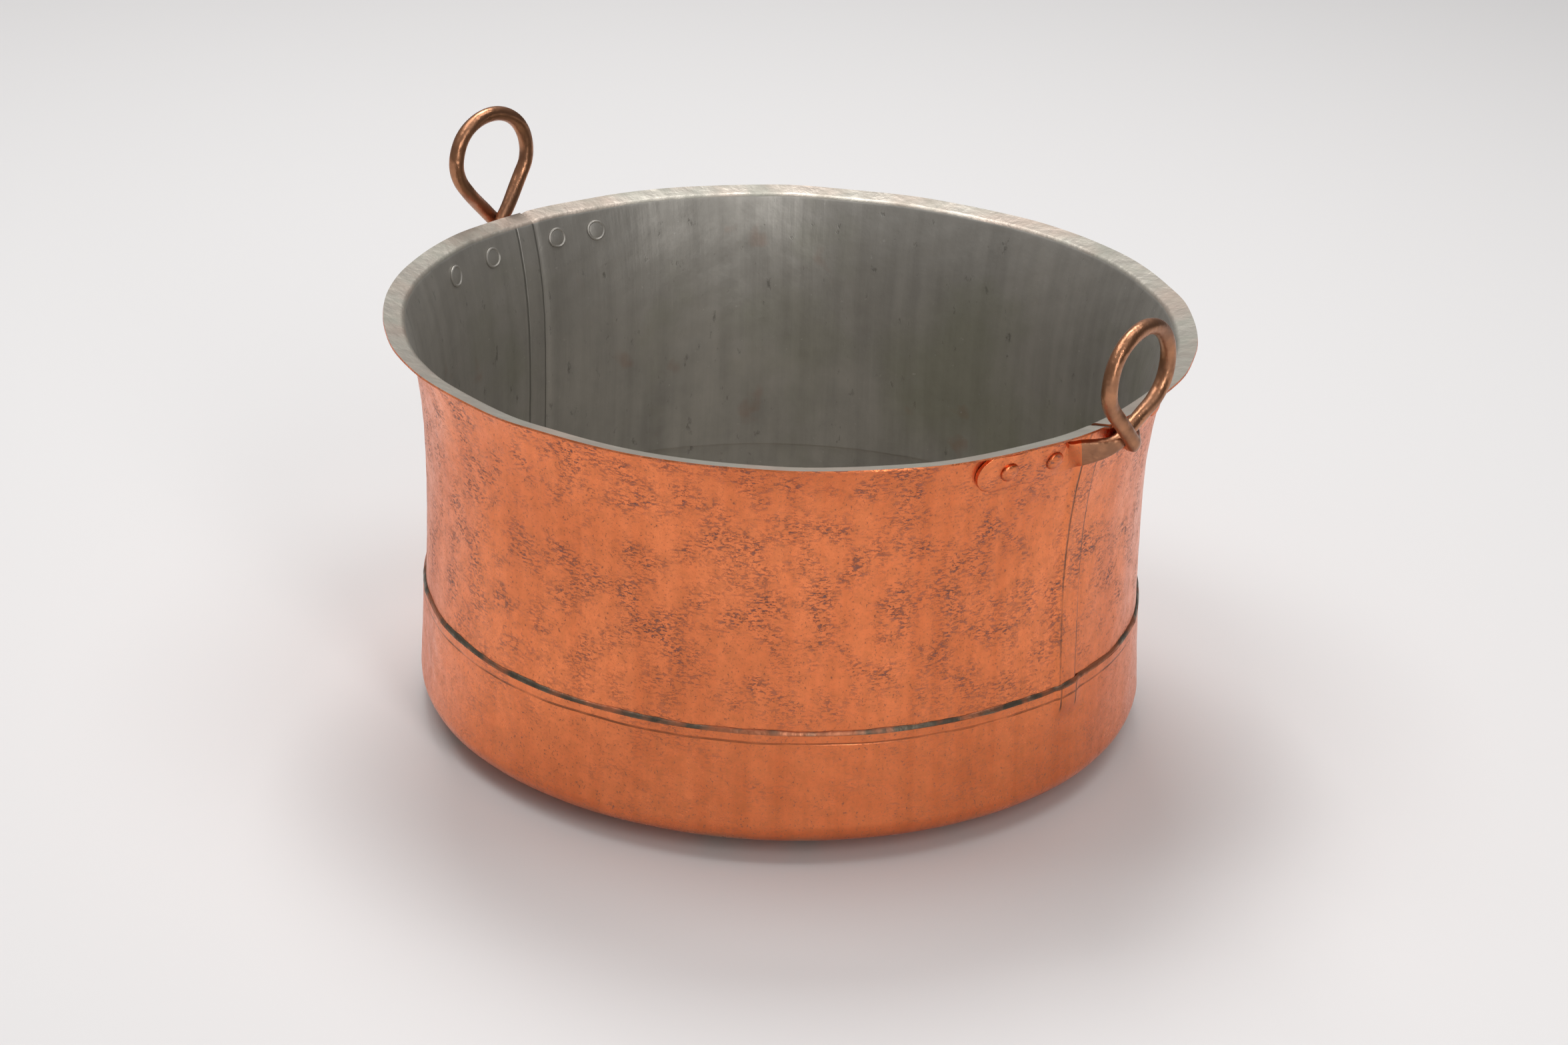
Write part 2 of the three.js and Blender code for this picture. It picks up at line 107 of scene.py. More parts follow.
class Graph:
    """The node tree of one material or world, built from Python expressions."""

    def __init__(self, tree: Any) -> None:
        """Empties a node tree and holds it."""
        self.tree = tree
        tree.nodes.clear()

    def node(self, kind: str, settings: dict[str, Any] | None = None,
             values: dict[Any, Any] | None = None, out: Any = 0) -> Sock:
        """Adds a node.

        Args:
            kind: Blender's node type.
            settings: the node's own settings, set first; "stops" fills a colour ramp.
            values: numbers, colours or links by socket name or index.
            out: the output socket that is returned.

        Returns:
            The chosen output.
        """
        made = self.tree.nodes.new(kind)
        for key, value in (settings or {}).items():
            if key == "stops":
                self._fill_ramp(made.color_ramp, value)
            else:
                setattr(made, key, value)
        for key, value in (values or {}).items():
            target = made.inputs[key]
            if isinstance(value, Sock):
                self.tree.links.new(value.socket, target)
            else:
                target.default_value = value
        return Sock(self, made.outputs[out] if len(made.outputs) else None)

    @staticmethod
    def _fill_ramp(ramp: Any, stops: list[tuple[float, float]]) -> None:
        """Sets a ramp's stops.

        Args:
            ramp: the colour ramp.
            stops: a place and a grey level for each stop.
        """
        while len(ramp.elements) > 1:
            ramp.elements.remove(ramp.elements[0])
        for i, (place, level) in enumerate(stops):
            stop = ramp.elements[0] if i == 0 else ramp.elements.new(place)
            stop.position = place
            stop.color = (level, level, level, 1)

    def mix(self, factor: Any, first: Any, second: Any) -> Sock:
        """Mixes two colours by a factor."""
        return self.node("ShaderNodeMix", {"data_type": "RGBA"}, {0: factor, 6: first, 7: second}, out=2)

    def place(self, scale: tuple[float, float, float] = (1, 1, 1)) -> Sock:
        """Object coordinates in metres, scaled along each axis."""
        at = self.node("ShaderNodeTexCoord", out="Object")
        return self.node("ShaderNodeMapping", None, {"Vector": at, "Scale": scale})

    def around(self, turn_scale: float, height_scale: float) -> Sock:
        """Coordinates that run round the axis and up it, without a step where the angle wraps.

        Args:
            turn_scale: the scale round the axis.
            height_scale: the scale up it.

        Returns:
            The coordinates.
        """
        at = self.node("ShaderNodeTexCoord", out="Object")
        unit = self.vector("NORMALIZE", self.vector("MULTIPLY", at, (1, 1, 0)))
        wide = self.vector("MULTIPLY", unit, (turn_scale, turn_scale, 0))
        return self.vector("ADD", wide, self.vector("MULTIPLY", at, (0, 0, height_scale)))

    def vector(self, operation: str, *values: Any) -> Sock:
        """Adds one Vector Math node and returns its vector."""
        return self.node("ShaderNodeVectorMath", {"operation": operation}, dict(enumerate(values)))

    def noise(self, at: Sock, scale: float, detail: float = 4, rough: float = 0.55) -> Sock:
        """Fractal noise from 0 to 1."""
        return self.node("ShaderNodeTexNoise", None,
                         {"Vector": at, "Scale": scale, "Detail": detail, "Roughness": rough})

    def ramp(self, value: Sock, stops: list[tuple[float, float]]) -> Sock:
        """Bends a value through a grey ramp."""
        return self.node("ShaderNodeValToRGB", {"stops": stops}, {0: value})

    def height(self, axis: str = "Z") -> Sock:
        """Height above the floor in metres, or the place along another axis."""
        at = self.node("ShaderNodeTexCoord", out="Object")
        return self.node("ShaderNodeSeparateXYZ", None, {0: at}, out=axis)

    def absolute(self, value: Sock) -> Sock:
        """The value without its sign."""
        return self.math("ABSOLUTE", value)

    def maximum(self, first: Sock, second: Sock) -> Sock:
        """The larger of two values."""
        return self.math("MAXIMUM", first, second)

    def math(self, operation: str, *values: Any) -> Sock:
        """Adds one Math node and returns its value."""
        return self.node("ShaderNodeMath", {"operation": operation}, dict(enumerate(values)))

    def between(self, value: Sock, low: float, high: float) -> Sock:
        """A smooth step from 0 at low to 1 at high."""
        return self.node("ShaderNodeMapRange", {"interpolation_type": "SMOOTHSTEP"},
                         {"Value": value, "From Min": low, "From Max": high})

    def surface(self, color: Any, rough: Any, metal: Any, bump: Sock, depth: float) -> None:
        """Ends the tree in a metal surface with a bump.

        Args:
            color: the base colour.
            rough: the roughness.
            metal: how metallic it is.
            bump: the height of the bump, from 0 to 1.
            depth: the bump's depth in metres.
        """
        normal = self.node("ShaderNodeBump", None, {"Height": bump, "Distance": depth, "Strength": 1.0})
        values = {"Base Color": color, "Roughness": rough, "Metallic": metal, "Normal": normal}
        shader = self.node("ShaderNodeBsdfPrincipled", None, values)
        self.node("ShaderNodeOutputMaterial", None, {"Surface": shader})


def rgb(red: float, green: float, blue: float) -> tuple[float, float, float, float]:
    """A linear colour with full alpha."""
    return (red, green, blue, 1.0)


@dataclass(frozen=True)
class Finish:
    """A named finish that is made into a material once."""

    name: str

    def paint(self, graph: Graph) -> None:
        """Builds the nodes.

        Args:
            graph: the material's empty node tree.
        """
        raise NotImplementedError

    def material(self) -> Any:
        """Makes the material on first use, and after that finds it by its name.

        Returns:
            The material.
        """
        found = bpy.data.materials.get(self.name)
        if found:
            return found
        made = bpy.data.materials.new(self.name)
        made.use_nodes = True
        self.paint(Graph(made.node_tree))
        return made


@dataclass(frozen=True)
class WornCopper(Finish):
    """Cleaned copper: orange, streaked, pitted in short dark level marks, green near the floor."""

    name: str = "worn_copper"
    bright: tuple[float, ...] = rgb(0.93, 0.275, 0.108)
    deep: tuple[float, ...] = rgb(0.70, 0.18, 0.065)
    brown: tuple[float, ...] = rgb(0.52, 0.185, 0.075)
    pit: tuple[float, ...] = rgb(0.06, 0.058, 0.075)
    green: tuple[float, ...] = rgb(0.11, 0.25, 0.20)
    # The line colour paints the dark lap joints, and painted shade in the crease and in the laps' grooves.
    line: tuple[float, ...] = rgb(0.10, 0.06, 0.04)
    crease_height: float = 0.0836
    crease_wander: float = 0.002
    crease_edge: tuple[float, float] = (0.0002, 0.0009)
    lap_half: float = 0.0079
    lap_edge: tuple[float, float] = (0.0003, 0.0011)
    lap_foot: tuple[float, float] = (0.072, 0.076)
    streaks_above: tuple[float, float] = (0.004, 0.02)
    pitted_above: tuple[float, float] = (0.06, 0.15)
    green_below: tuple[float, float] = (0.006, 0.022)
    bump_depth: float = 0.0010

    def lines(self, graph: Graph) -> Sock:
        """Thin dark lines: painted shade in the crease under the pan's edge, and the two edges of each
        upright lap, dark solder joints with painted shade in their grooves.

        Args:
            graph: the material's node tree.

        Returns:
            1 on a line and 0 away from it.
        """
        height = graph.height()
        wander = (graph.noise(graph.around(3, 0), 1.5, 2) - 0.5) * self.crease_wander
        # Painted shade: the crease under the pan's edge is drawn as a dark line.
        crease = 1 - graph.between(graph.absolute(height - wander - self.crease_height), *self.crease_edge)
        # The lap's edges: dark soldered joints, with painted shade in the groove of the lap's bend.
        across = graph.absolute(graph.absolute(graph.height("Y")) - self.lap_half)
        lap = (1 - graph.between(across, *self.lap_edge)) * graph.between(height, *self.lap_foot)
        patchy = graph.ramp(graph.noise(graph.place(), 30, 3), [(0.35, 0.25), (0.6, 1)])
        return graph.maximum(crease * 0.7, lap * 0.85) * patchy

    def paint(self, graph: Graph) -> None:
        """Builds the nodes.

        Args:
            graph: the material's empty node tree.
        """
        at = graph.place()
        cloud = graph.ramp(graph.noise(at, 8, 5), [(0.36, 0), (0.66, 1)])
        mottle = graph.ramp(graph.noise(at, 130, 8, 0.75), [(0.40, 0), (0.64, 1)])
        streak = graph.ramp(graph.noise(graph.around(7, 1.6), 2.6, 4), [(0.42, 0), (0.68, 1)])
        streak = streak * graph.between(graph.height(), *self.streaks_above)
        color = graph.mix(0.40 * cloud + 0.40 * streak, self.bright, self.deep)
        color = graph.mix(0.35 * mottle, color, self.brown)
        middle = graph.between(graph.height(), *self.pitted_above)
        where = graph.ramp(graph.noise(graph.around(8, 34), 1.3, 5), [(0.42, 0), (0.66, 0.9)])
        where = where * (0.3 + 0.7 * middle)
        fine = graph.noise(graph.around(38, 420), 1.6, 6, 0.75)
        pits = graph.ramp(fine, [(0.515, 0), (0.575, 1)]) * where
        specks = graph.ramp(graph.noise(at, 620, 4, 0.75), [(0.58, 0), (0.66, 1)])
        pits = graph.maximum(pits, specks * (0.25 + 0.6 * mottle))
        color = graph.mix(0.9 * pits, color, self.pit)
        low = 1 - graph.between(graph.height(), *self.green_below)
        patch = graph.ramp(graph.noise(graph.around(3, 8), 1.6, 4), [(0.52, 0), (0.60, 1)])
        color = graph.mix(0.8 * low * patch, color, self.green)
        lines = self.lines(graph)
        # Darkens the joint lines, and paints shade into the crease and the lap grooves.
        color = graph.mix(lines, color, self.line)
        rough = 0.22 + 0.10 * cloud + 0.10 * mottle + 0.2 * pits
        bump = graph.noise(at, 22, 2) * 0.8 - pits * 0.12 - lines * 0.4 + graph.noise(at, 160, 3) * 0.15
        graph.surface(color, rough, 1 - 0.8 * pits - 0.7 * low * patch, bump, self.bump_depth)


@dataclass(frozen=True)
class DullTin(Finish):
    """Old tin lining: dull warm grey with upright streaks, faint green and rusty stains, pale specks."""

    name: str = "dull_tin"
    base: tuple[float, ...] = rgb(0.49, 0.463, 0.42)
    dark: tuple[float, ...] = rgb(0.28, 0.262, 0.235)
    stain: tuple[float, ...] = rgb(0.26, 0.27, 0.16)
    rust: tuple[float, ...] = rgb(0.36, 0.19, 0.12)
    speck: tuple[float, ...] = rgb(0.60, 0.58, 0.54)
    spot: tuple[float, ...] = rgb(0.12, 0.115, 0.10)
    lap_edge: tuple[float, float] = (0.0003, 0.0014)
    lap_foot: tuple[float, float] = (0.08, 0.083)
    streaks_above: tuple[float, float] = (0.03, 0.07)
    metal: float = 0.7
    bump_depth: float = 0.0012

    def paint(self, graph: Graph) -> None:
        """Builds the nodes.

        Args:
            graph: the material's empty node tree.
        """
        at = graph.place()
        streak = graph.ramp(graph.noise(graph.around(14, 3.5), 1.6, 5), [(0.38, 0), (0.68, 1)])
        streak = streak * graph.between(graph.height(), *self.streaks_above)
        cloud = graph.ramp(graph.noise(at, 12, 6, 0.65), [(0.36, 0), (0.64, 1)])
        color = graph.mix(0.28 * streak + 0.45 * cloud, self.base, self.dark)
        green = graph.ramp(graph.noise(at, 7, 4), [(0.54, 0), (0.68, 1)])
        color = graph.mix(0.35 * green, color, self.stain)
        rusty = graph.ramp(graph.noise(at, 23, 3), [(0.66, 0), (0.74, 1)])
        color = graph.mix(0.3 * rusty, color, self.rust)
        spots = graph.ramp(graph.noise(graph.place((1, 1, 0.5)), 120, 4, 0.7), [(0.63, 0), (0.72, 1)])
        color = graph.mix(0.5 * spots, color, self.spot)
        specks = graph.ramp(graph.noise(at, 230, 2), [(0.72, 0), (0.77, 1)])
        color = graph.mix(0.5 * specks, color, self.speck)
        across = graph.absolute(graph.absolute(graph.height("Y")) - COPPER.lap_half)
        lap = (1 - graph.between(across, *self.lap_edge)) * graph.between(graph.height(), *self.lap_foot)
        color = graph.mix(0.6 * lap, color, self.spot)
        bump = graph.noise(at, 40, 4) * 0.6 + streak * 0.1 - spots * 0.1 - lap * 0.4
        graph.surface(color, 0.44 + 0.12 * cloud, self.metal, bump, self.bump_depth)


@dataclass(frozen=True)
class LipTin(Finish):
    """Tin on the lip and bend: paler, mottled green and pink where it is rubbed."""

    name: str = "lip_tin"
    base: tuple[float, ...] = rgb(0.40, 0.37, 0.32)
    dark: tuple[float, ...] = rgb(0.25, 0.25, 0.21)
    pink: tuple[float, ...] = rgb(0.44, 0.34, 0.28)
    metal: float = 0.7
    bump_depth: float = 0.0009

    def paint(self, graph: Graph) -> None:
        """Builds the nodes.

        Args:
            graph: the material's empty node tree.
        """
        at = graph.place()
        cloud = graph.ramp(graph.noise(at, 42, 4), [(0.4, 0), (0.62, 1)])
        rubbed = graph.ramp(graph.noise(at, 17, 4), [(0.45, 0), (0.66, 1)])
        color = graph.mix(0.55 * cloud, self.base, self.dark)
        color = graph.mix(0.6 * rubbed, color, self.pink)
        graph.surface(color, 0.42 + 0.14 * cloud, self.metal, graph.noise(at, 90, 4), self.bump_depth)


@dataclass(frozen=True)
class ForgedCopper(Finish):
    """Handle bar: brown copper with darker patches, and hammer marks in its bump."""

    name: str = "forged_copper"
    base: tuple[float, ...] = rgb(0.50, 0.235, 0.125)
    dark: tuple[float, ...] = rgb(0.22, 0.115, 0.07)
    metal: float = 0.95
    bump_depth: float = 0.0012

    def paint(self, graph: Graph) -> None:
        """Builds the nodes.

        Args:
            graph: the material's empty node tree.
        """
        at = graph.place()
        cloud = graph.ramp(graph.noise(at, 55, 4), [(0.35, 0), (0.65, 1)])
        grain = graph.noise(at, 320, 3)
        color = graph.mix(0.7 * cloud, self.base, self.dark)
        bump = graph.noise(at, 90, 2) * 0.7 + grain * 0.2
        graph.surface(color, 0.26 + 0.2 * cloud, self.metal, bump, self.bump_depth)


@dataclass(frozen=True)
class GreySolder(Finish):
    """Solder: dull grey, lumpy, with copper showing through in places."""

    name: str = "grey_solder"
    base: tuple[float, ...] = rgb(0.20, 0.165, 0.12)
    dark: tuple[float, ...] = rgb(0.06, 0.05, 0.04)
    copper: tuple[float, ...] = rgb(0.62, 0.21, 0.10)
    metal: float = 0.9
    bump_depth: float = 0.0008

    def paint(self, graph: Graph) -> None:
        """Builds the nodes.

        Args:
            graph: the material's empty node tree.
        """
        at = graph.place()
        lump = graph.ramp(graph.noise(at, 75, 4), [(0.38, 0), (0.62, 1)])
        bare = graph.ramp(graph.noise(at, 28, 3), [(0.46, 0), (0.56, 1)])
        color = graph.mix(0.6 * lump, self.base, self.dark)
        color = graph.mix(0.75 * bare, color, self.copper)
        graph.surface(color, 0.40 + 0.15 * lump, self.metal, graph.noise(at, 150, 3), self.bump_depth)


COPPER, TIN, LIP = WornCopper(), DullTin(), LipTin()
FORGED, SOLDER = ForgedCopper(), GreySolder()


RIM_HEIGHT = 276.0
STILL_BELOW = 40.0
STILL_INSIDE = 200.0
SHARP_ANGLE = 40 * RAD
DOUBLED_POINTS = 1e-6
THIN_FACES = 1e-7


@dataclass(frozen=True)
class Wave:
    """A slow wave over the tub: size in millimetres, waves round it, climb with height, and phase."""

    size: float
    turns: float
    climb: float = 0.0
    phase: float = 0.0

    def at(self, turn: Array, up: Array) -> Array:
        """The size times the sine of the angle, the share of the height and the phase, added up."""
        return self.size * np.sin(self.turns * turn + self.climb * up + self.phase)


OUT_WAVES = (Wave(0.55, 3, 2, 0.8), Wave(0.35, 7, -5, 2.1), Wave(0.22, 13, 9), Wave(0.16, 23, -14, 1.3))
DENT_WAVES = (Wave(0.14, 31, 31), Wave(1, 5, 47))
RISE_WAVES = (Wave(0.7, 2, 0, 0.6), Wave(0.4, 5, 0, 1.9), Wave(0.22, 17))


def polar(turn: Array, radius: Array, height: Array) -> Array:
    """Places in millimetres from an angle in radians, a radius and a height."""
    turn, radius, height = np.broadcast_arrays(turn, radius, height)
    return np.stack([radius * np.cos(turn), radius * np.sin(turn), height], axis=-1)


def unevenness(points: Array) -> Array:
    """Hand-made unevenness, the same for all pieces so that they stay fitted.

    The radius gains a few slow waves round and up the tub, and short shallow dents on the wall. The height
    gains slow waves that grow towards the rim. Both vanish at the flat that the tub stands on.

    Args:
        points: places in millimetres.

    Returns:
        The moved places.
    """
    x, y, z = np.moveaxis(points, -1, 0)
    turn, radius = np.arctan2(y, x), np.hypot(x, y)
    up = np.clip(z / RIM_HEIGHT, 0, 1)
    grow = np.clip(z / STILL_BELOW, 0, 1) * np.clip(radius / STILL_INSIDE, 0, 1)
    out = sum(wave.at(turn, up) for wave in OUT_WAVES)
    out = out + DENT_WAVES[0].at(turn, up) * DENT_WAVES[1].at(turn, up)
    rise = sum(wave.at(turn, up) for wave in RISE_WAVES)
    scale = 1 + out * grow / np.maximum(radius, 1)
    return np.stack([x * scale, y * scale, z + rise * grow * up ** 2], axis=-1)


def grid_faces(rows: int, columns: int, wrap_rows: bool, wrap_columns: bool) -> Array:
    """Corners of the quads of a grid whose points are numbered row by row.

    Args:
        rows: how many rows of points there are.
        columns: how many points a row has.
        wrap_rows: whether the last row joins the first.
        wrap_columns: whether each row is closed.

    Returns:
        Four point numbers for each quad.
    """
    row = np.arange(rows if wrap_rows else rows - 1)[:, None]
    column = np.arange(columns if wrap_columns else columns - 1)[None, :]
    next_row, next_column = (row + 1) % rows, (column + 1) % columns
    corners = [row * columns + column, row * columns + next_column,
               next_row * columns + next_column, next_row * columns + column]
    return np.stack(corners, axis=-1).reshape(-1, 4)


def make_piece(name: str, points: Array, faces: Array, finishes: list[Finish],
               choice: Array | None = None) -> Any:
    """Makes a mesh piece that stands for the CAD node of the same name.

    Args:
        name: the piece's name.
        points: places in millimetres, before the unevenness.
        faces: quads, as four point numbers each.
        finishes: the finishes it uses.
        choice: which finish each face has.

    Returns:
        The Blender object.
    """
    mesh = bpy.data.meshes.new(name)
    mesh.from_pydata((unevenness(points.reshape(-1, 3)) * MM).tolist(), [], faces.tolist())
    for finish in finishes:
        mesh.materials.append(finish.material())
    if choice is not None:
        mesh.polygons.foreach_set("material_index", np.asarray(choice, dtype=np.int32))
    obj = bpy.data.objects.new(name, mesh)
    bpy.context.scene.collection.objects.link(obj)
    settle_mesh(mesh)
    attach(obj, "root")
    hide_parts(name)
    log.info("%s: %d faces", name, len(mesh.polygons))
    return obj


def settle_mesh(mesh: Any) -> None:
    """Merges doubled points, turns the faces out and shades them smooth up to a sharp angle.

    Args:
        mesh: the mesh to settle.
    """
    work = bmesh.new()
    work.from_mesh(mesh)
    bmesh.ops.remove_doubles(work, verts=work.verts, dist=DOUBLED_POINTS)
    bmesh.ops.dissolve_degenerate(work, edges=work.edges, dist=THIN_FACES)
    bmesh.ops.recalc_face_normals(work, faces=work.faces)
    work.to_mesh(mesh)
    work.free()
    mesh.shade_smooth()
    mesh.set_sharp_from_angle(angle=SHARP_ANGLE)


def smoothstep(value: Array, low: float, high: float) -> Array:
    """A smooth step from 0 at low to 1 at high."""
    share = np.clip((value - low) / (high - low), 0, 1)
    return share * share * (3 - 2 * share)


@dataclass
class Wall:
    """The two lapped wall sheets: sizes in millimetres, radii to the outside of the sheet."""

    rim_radius: float = 265.0
    rim_height: float = RIM_HEIGHT
    thickness: float = 1.2
    waist_inset: float = 27.3
    waist_height: float = 158.0
    shoulder_flare: float = 14.1
    shoulder_power: float = 2.6
    foot_flare: float = 2.1
    foot_power: float = 1.3
    lip_depth: float = 5.0
    lip_rise: float = 12 * RAD
    bend_radius: float = 5.0
    pan_height: float = 89.4
    foot: float = 82.4
    lap: float = 15.8
    joggle: float = 5.6
    gap: float = 0.3
    slope_step: float = 0.01
    search_steps: int = 4000
    wall_rows: int = 44
    row_crowding: float = 1.2
    bend_rows: int = 12
    rubbed_bend_rows: int = 9
    lip_rows: int = 6
    columns: int = 421

    def radius(self, z: Array) -> Array:
        """Radius at a height: narrowest at the waist, with a power curve above it and another below it.

        Args:
            z: heights.

        Returns:
            The radius at each height.
        """
        waist = self.rim_radius - self.waist_inset
        span = self.rim_height - self.lip_depth - self.waist_height
        up = np.clip((z - self.waist_height) / span, 0, 2)
        down = np.clip((self.waist_height - z) / (self.waist_height - self.pan_height), 0, 1)
        shoulder = self.shoulder_flare * up ** self.shoulder_power
        foot = self.foot_flare * down ** self.foot_power
        return waist + shoulder + foot

    def foot_radius(self) -> float:
        """Radius of the wall at the pan's edge."""
        return self.rim_radius - self.waist_inset + self.foot_flare

    def normal(self, z: Array) -> Array:
        """The direction straight out of the wall, from the slope of its radius.

        Args:
            z: heights.

        Returns:
            The radius and height parts of a unit direction at each height.
        """
        step = self.slope_step
        slope = (self.radius(z + step) - self.radius(z - step)) / (2 * step)
        out = np.stack([np.ones_like(slope), -slope], axis=-1)
        return out / np.linalg.norm(out, axis=-1, keepdims=True)

    def outside(self, z: Array, out: Array | float = 0.0) -> Array:
        """Places on the wall, moved straight out of it.

        Args:
            z: heights on the wall.
            out: how far each place is moved out.

        Returns:
            The radius and height of each place.
        """
        z = np.asarray(z, dtype=float)
        shift = np.asarray(out, dtype=float)[..., None] if np.ndim(out) else out
        return np.stack([self.radius(z), z], axis=-1) + self.normal(z) * shift

    def swell(self, turn: Array) -> Array:
        """1 on a seam's lap, falling to 0 over the joggle, for seams at 0 and at half a turn.

        Args:
            turn: angles in radians.

        Returns:
            The share of the full step at each angle.
        """
        from_seam = np.abs((turn + np.pi / 2) % np.pi - np.pi / 2) * self.foot_radius()
        return 1 - smoothstep(from_seam, self.lap / 2, self.lap / 2 + self.joggle)

    def section(self) -> tuple[Array, Array]:
        """Outside of a sheet from its foot to the edge of the lip.

        The wall runs up to where a circle of the bend's radius touches both it and the lip's underside, the
        bend follows that circle, and the lip runs straight to its edge.

        Returns:
            The points as radius and height, and the way out of the sheet at each point.
        """
        bend, rise = self.bend_radius - self.thickness, self.lip_rise
        edge = np.array([self.rim_radius, self.rim_height - self.thickness * math.cos(rise)])
        heights = np.linspace(self.waist_height, self.rim_height, self.search_steps)
        centres = self.outside(heights, bend)
        under = (edge[1] - centres[:, 1]) * math.cos(rise) - (edge[0] - centres[:, 0]) * math.sin(rise)
        pick = int(np.argmin(np.abs(under - bend)))
        top, centre = heights[pick], centres[pick]
        share = 1 - (1 - np.linspace(0, 1, self.wall_rows, endpoint=False)) ** self.row_crowding
        z = self.foot + (top - self.foot) * share
        start = self.normal(np.array(top))
        turns = np.linspace(math.atan2(-start[1], start[0]), math.pi / 2 - rise, self.bend_rows)
        ways = np.stack([np.cos(turns), -np.sin(turns)], axis=-1)
        bent = centre - bend * ways
        lip = bent[-1] + (edge - bent[-1]) * np.linspace(0, 1, self.lip_rows + 1)[1:, None]
        points = np.concatenate([self.outside(z), bent, lip])
        return points, np.concatenate([self.normal(z), ways, np.repeat(ways[-1:], self.lip_rows, axis=0)])

    def sheet(self, name: str, start: float) -> Any:
        """Builds one sheet, half round the tub. Its second end steps out over the other sheet.

        Args:
            name: the piece's name.
            start: where it starts, in degrees.

        Returns:
            The Blender object.
        """
        reach = self.lap / 2 / self.foot_radius()
        turn = np.linspace(start * RAD - reach, start * RAD + math.pi + reach, self.columns)
        late = turn > start * RAD + math.pi / 2
        out = np.where(late, self.swell(turn), 0) * (self.thickness + self.gap)
        points, ways = self.section()
        count = len(points)
        outer = points[None] + ways[None] * out[:, None, None]
        inner = (outer - ways[None] * self.thickness)[:, ::-1]
        ring = np.concatenate([outer, inner], axis=1)
        places = polar(turn[:, None], ring[..., 0], ring[..., 1])
        rows, columns = len(turn), 2 * count
        cap = np.arange(count - 1)
        pair = columns - 1 - cap
        first = np.stack([cap, cap + 1, pair - 1, pair], axis=-1)
        faces = grid_faces(rows, columns, False, True)
        faces = np.concatenate([faces, first, first[:, ::-1] + (rows - 1) * columns])
        column = np.tile(np.arange(columns), rows - 1)
        lip_end = count + self.lip_rows + self.rubbed_bend_rows - 1
        tinned = np.where(column < lip_end, Skin.LIP, Skin.TIN)
        choice = np.where((column >= count) & (column < columns - 1), tinned, Skin.COPPER)
        choice = np.concatenate([choice, np.full(2 * (count - 1), Skin.COPPER)])
        return make_piece(name, places, faces, [COPPER, TIN, LIP], choice)


@dataclass
class Pan:
    """The dished base pan, which goes up round the outside of the wall sheets. Sizes in millimetres."""

    wall: Wall
    thickness: float = 1.5
    lean: float = 4.2 * RAD
    corner: float = 14.0
    dish: float = 12 * RAD
    flat: float = 117.0
    fade: float = 14.0
    fade_below: float = 2.0
    side_rows: int = 40
    corner_rows: int = 16
    bowl_rows: int = 26
    flat_rows: int = 14
    columns: int = 480

    def section(self) -> tuple[Array, Array]:
        """Outside from the top edge to the middle: leaning wall, corner arc, dished parabola and flat.

        Returns:
            The points as radius and height, and the way out of the pan at each point.
        """
        top = float(self.wall.radius(np.array(self.wall.pan_height))) + self.wall.gap + self.thickness
        tan_lean, tan_dish = math.tan(self.lean) / 2, math.tan(self.dish) / 2
        high = self.wall.pan_height
        reach = top + tan_lean * high - self.corner * (math.cos(self.lean) - math.sin(self.dish))
        drop = self.corner * (math.cos(self.dish) + math.sin(self.lean))
        low = (tan_dish * (reach - self.flat) + drop) / (1 + tan_dish * tan_lean)
        z = np.linspace(high, low, self.side_rows)
        down = (high - z) / (high - low)
        side = np.stack([top + tan_lean * (high - low) * down ** 2, z], axis=-1)
        side_way = np.stack([np.ones_like(z), 2 * tan_lean * down], axis=-1)
        turns = np.linspace(-self.lean, math.pi / 2 - self.dish, self.corner_rows)[1:]
        turn_way = np.stack([np.cos(turns), -np.sin(turns)], axis=-1)
        centre = side[-1] - self.corner * np.array([math.cos(self.lean), math.sin(self.lean)])
        arc = centre + self.corner * turn_way
        r = np.linspace(arc[-1, 0], self.flat, self.bowl_rows)[1:]
        slope = 2 * tan_dish * (r - self.flat) / (arc[-1, 0] - self.flat)
        bowl = np.stack([r, slope * (r - self.flat) / 2], axis=-1)
        bowl_way = np.stack([slope, -np.ones_like(r)], axis=-1)
        r = np.linspace(self.flat, 0, self.flat_rows)[1:]
        floor = np.stack([r, np.zeros_like(r)], axis=-1)
        floor_way = np.stack([np.zeros_like(r), -np.ones_like(r)], axis=-1)
        ways = np.concatenate([side_way, turn_way, bowl_way, floor_way])
        ways /= np.linalg.norm(ways, axis=-1, keepdims=True)
        return np.concatenate([side, arc, bowl, floor]), ways

    def build(self) -> Any:
        """Builds the pan, swelling over each seam and fading below the foot of the sheets.

        Returns:
            The Blender object.
        """
        points, ways = self.section()
        turn = np.linspace(0, 2 * math.pi, self.columns, endpoint=False)
        step = self.wall.thickness + self.wall.gap
        top = self.wall.foot - self.fade_below
        out = self.wall.swell(turn)[:, None] * step * smoothstep(points[:, 1], top - self.fade, top)[None]
        outer = points[None] + ways[None] * out[..., None]
        inner = (outer - ways[None] * self.thickness)[:, ::-1]
        ring = np.concatenate([outer, inner], axis=1)
        places = polar(turn[:, None], np.maximum(ring[..., 0], 0), ring[..., 1])
        columns = 2 * len(points)
        faces = grid_faces(len(turn), columns, True, True)
        column = np.tile(np.arange(columns), len(turn))
        inside = (column >= len(points)) & (column < columns - 1)
        choice = np.where(inside, Skin.TIN, Skin.COPPER)
        return make_piece("base_pan", places, faces, [COPPER, TIN], choice)


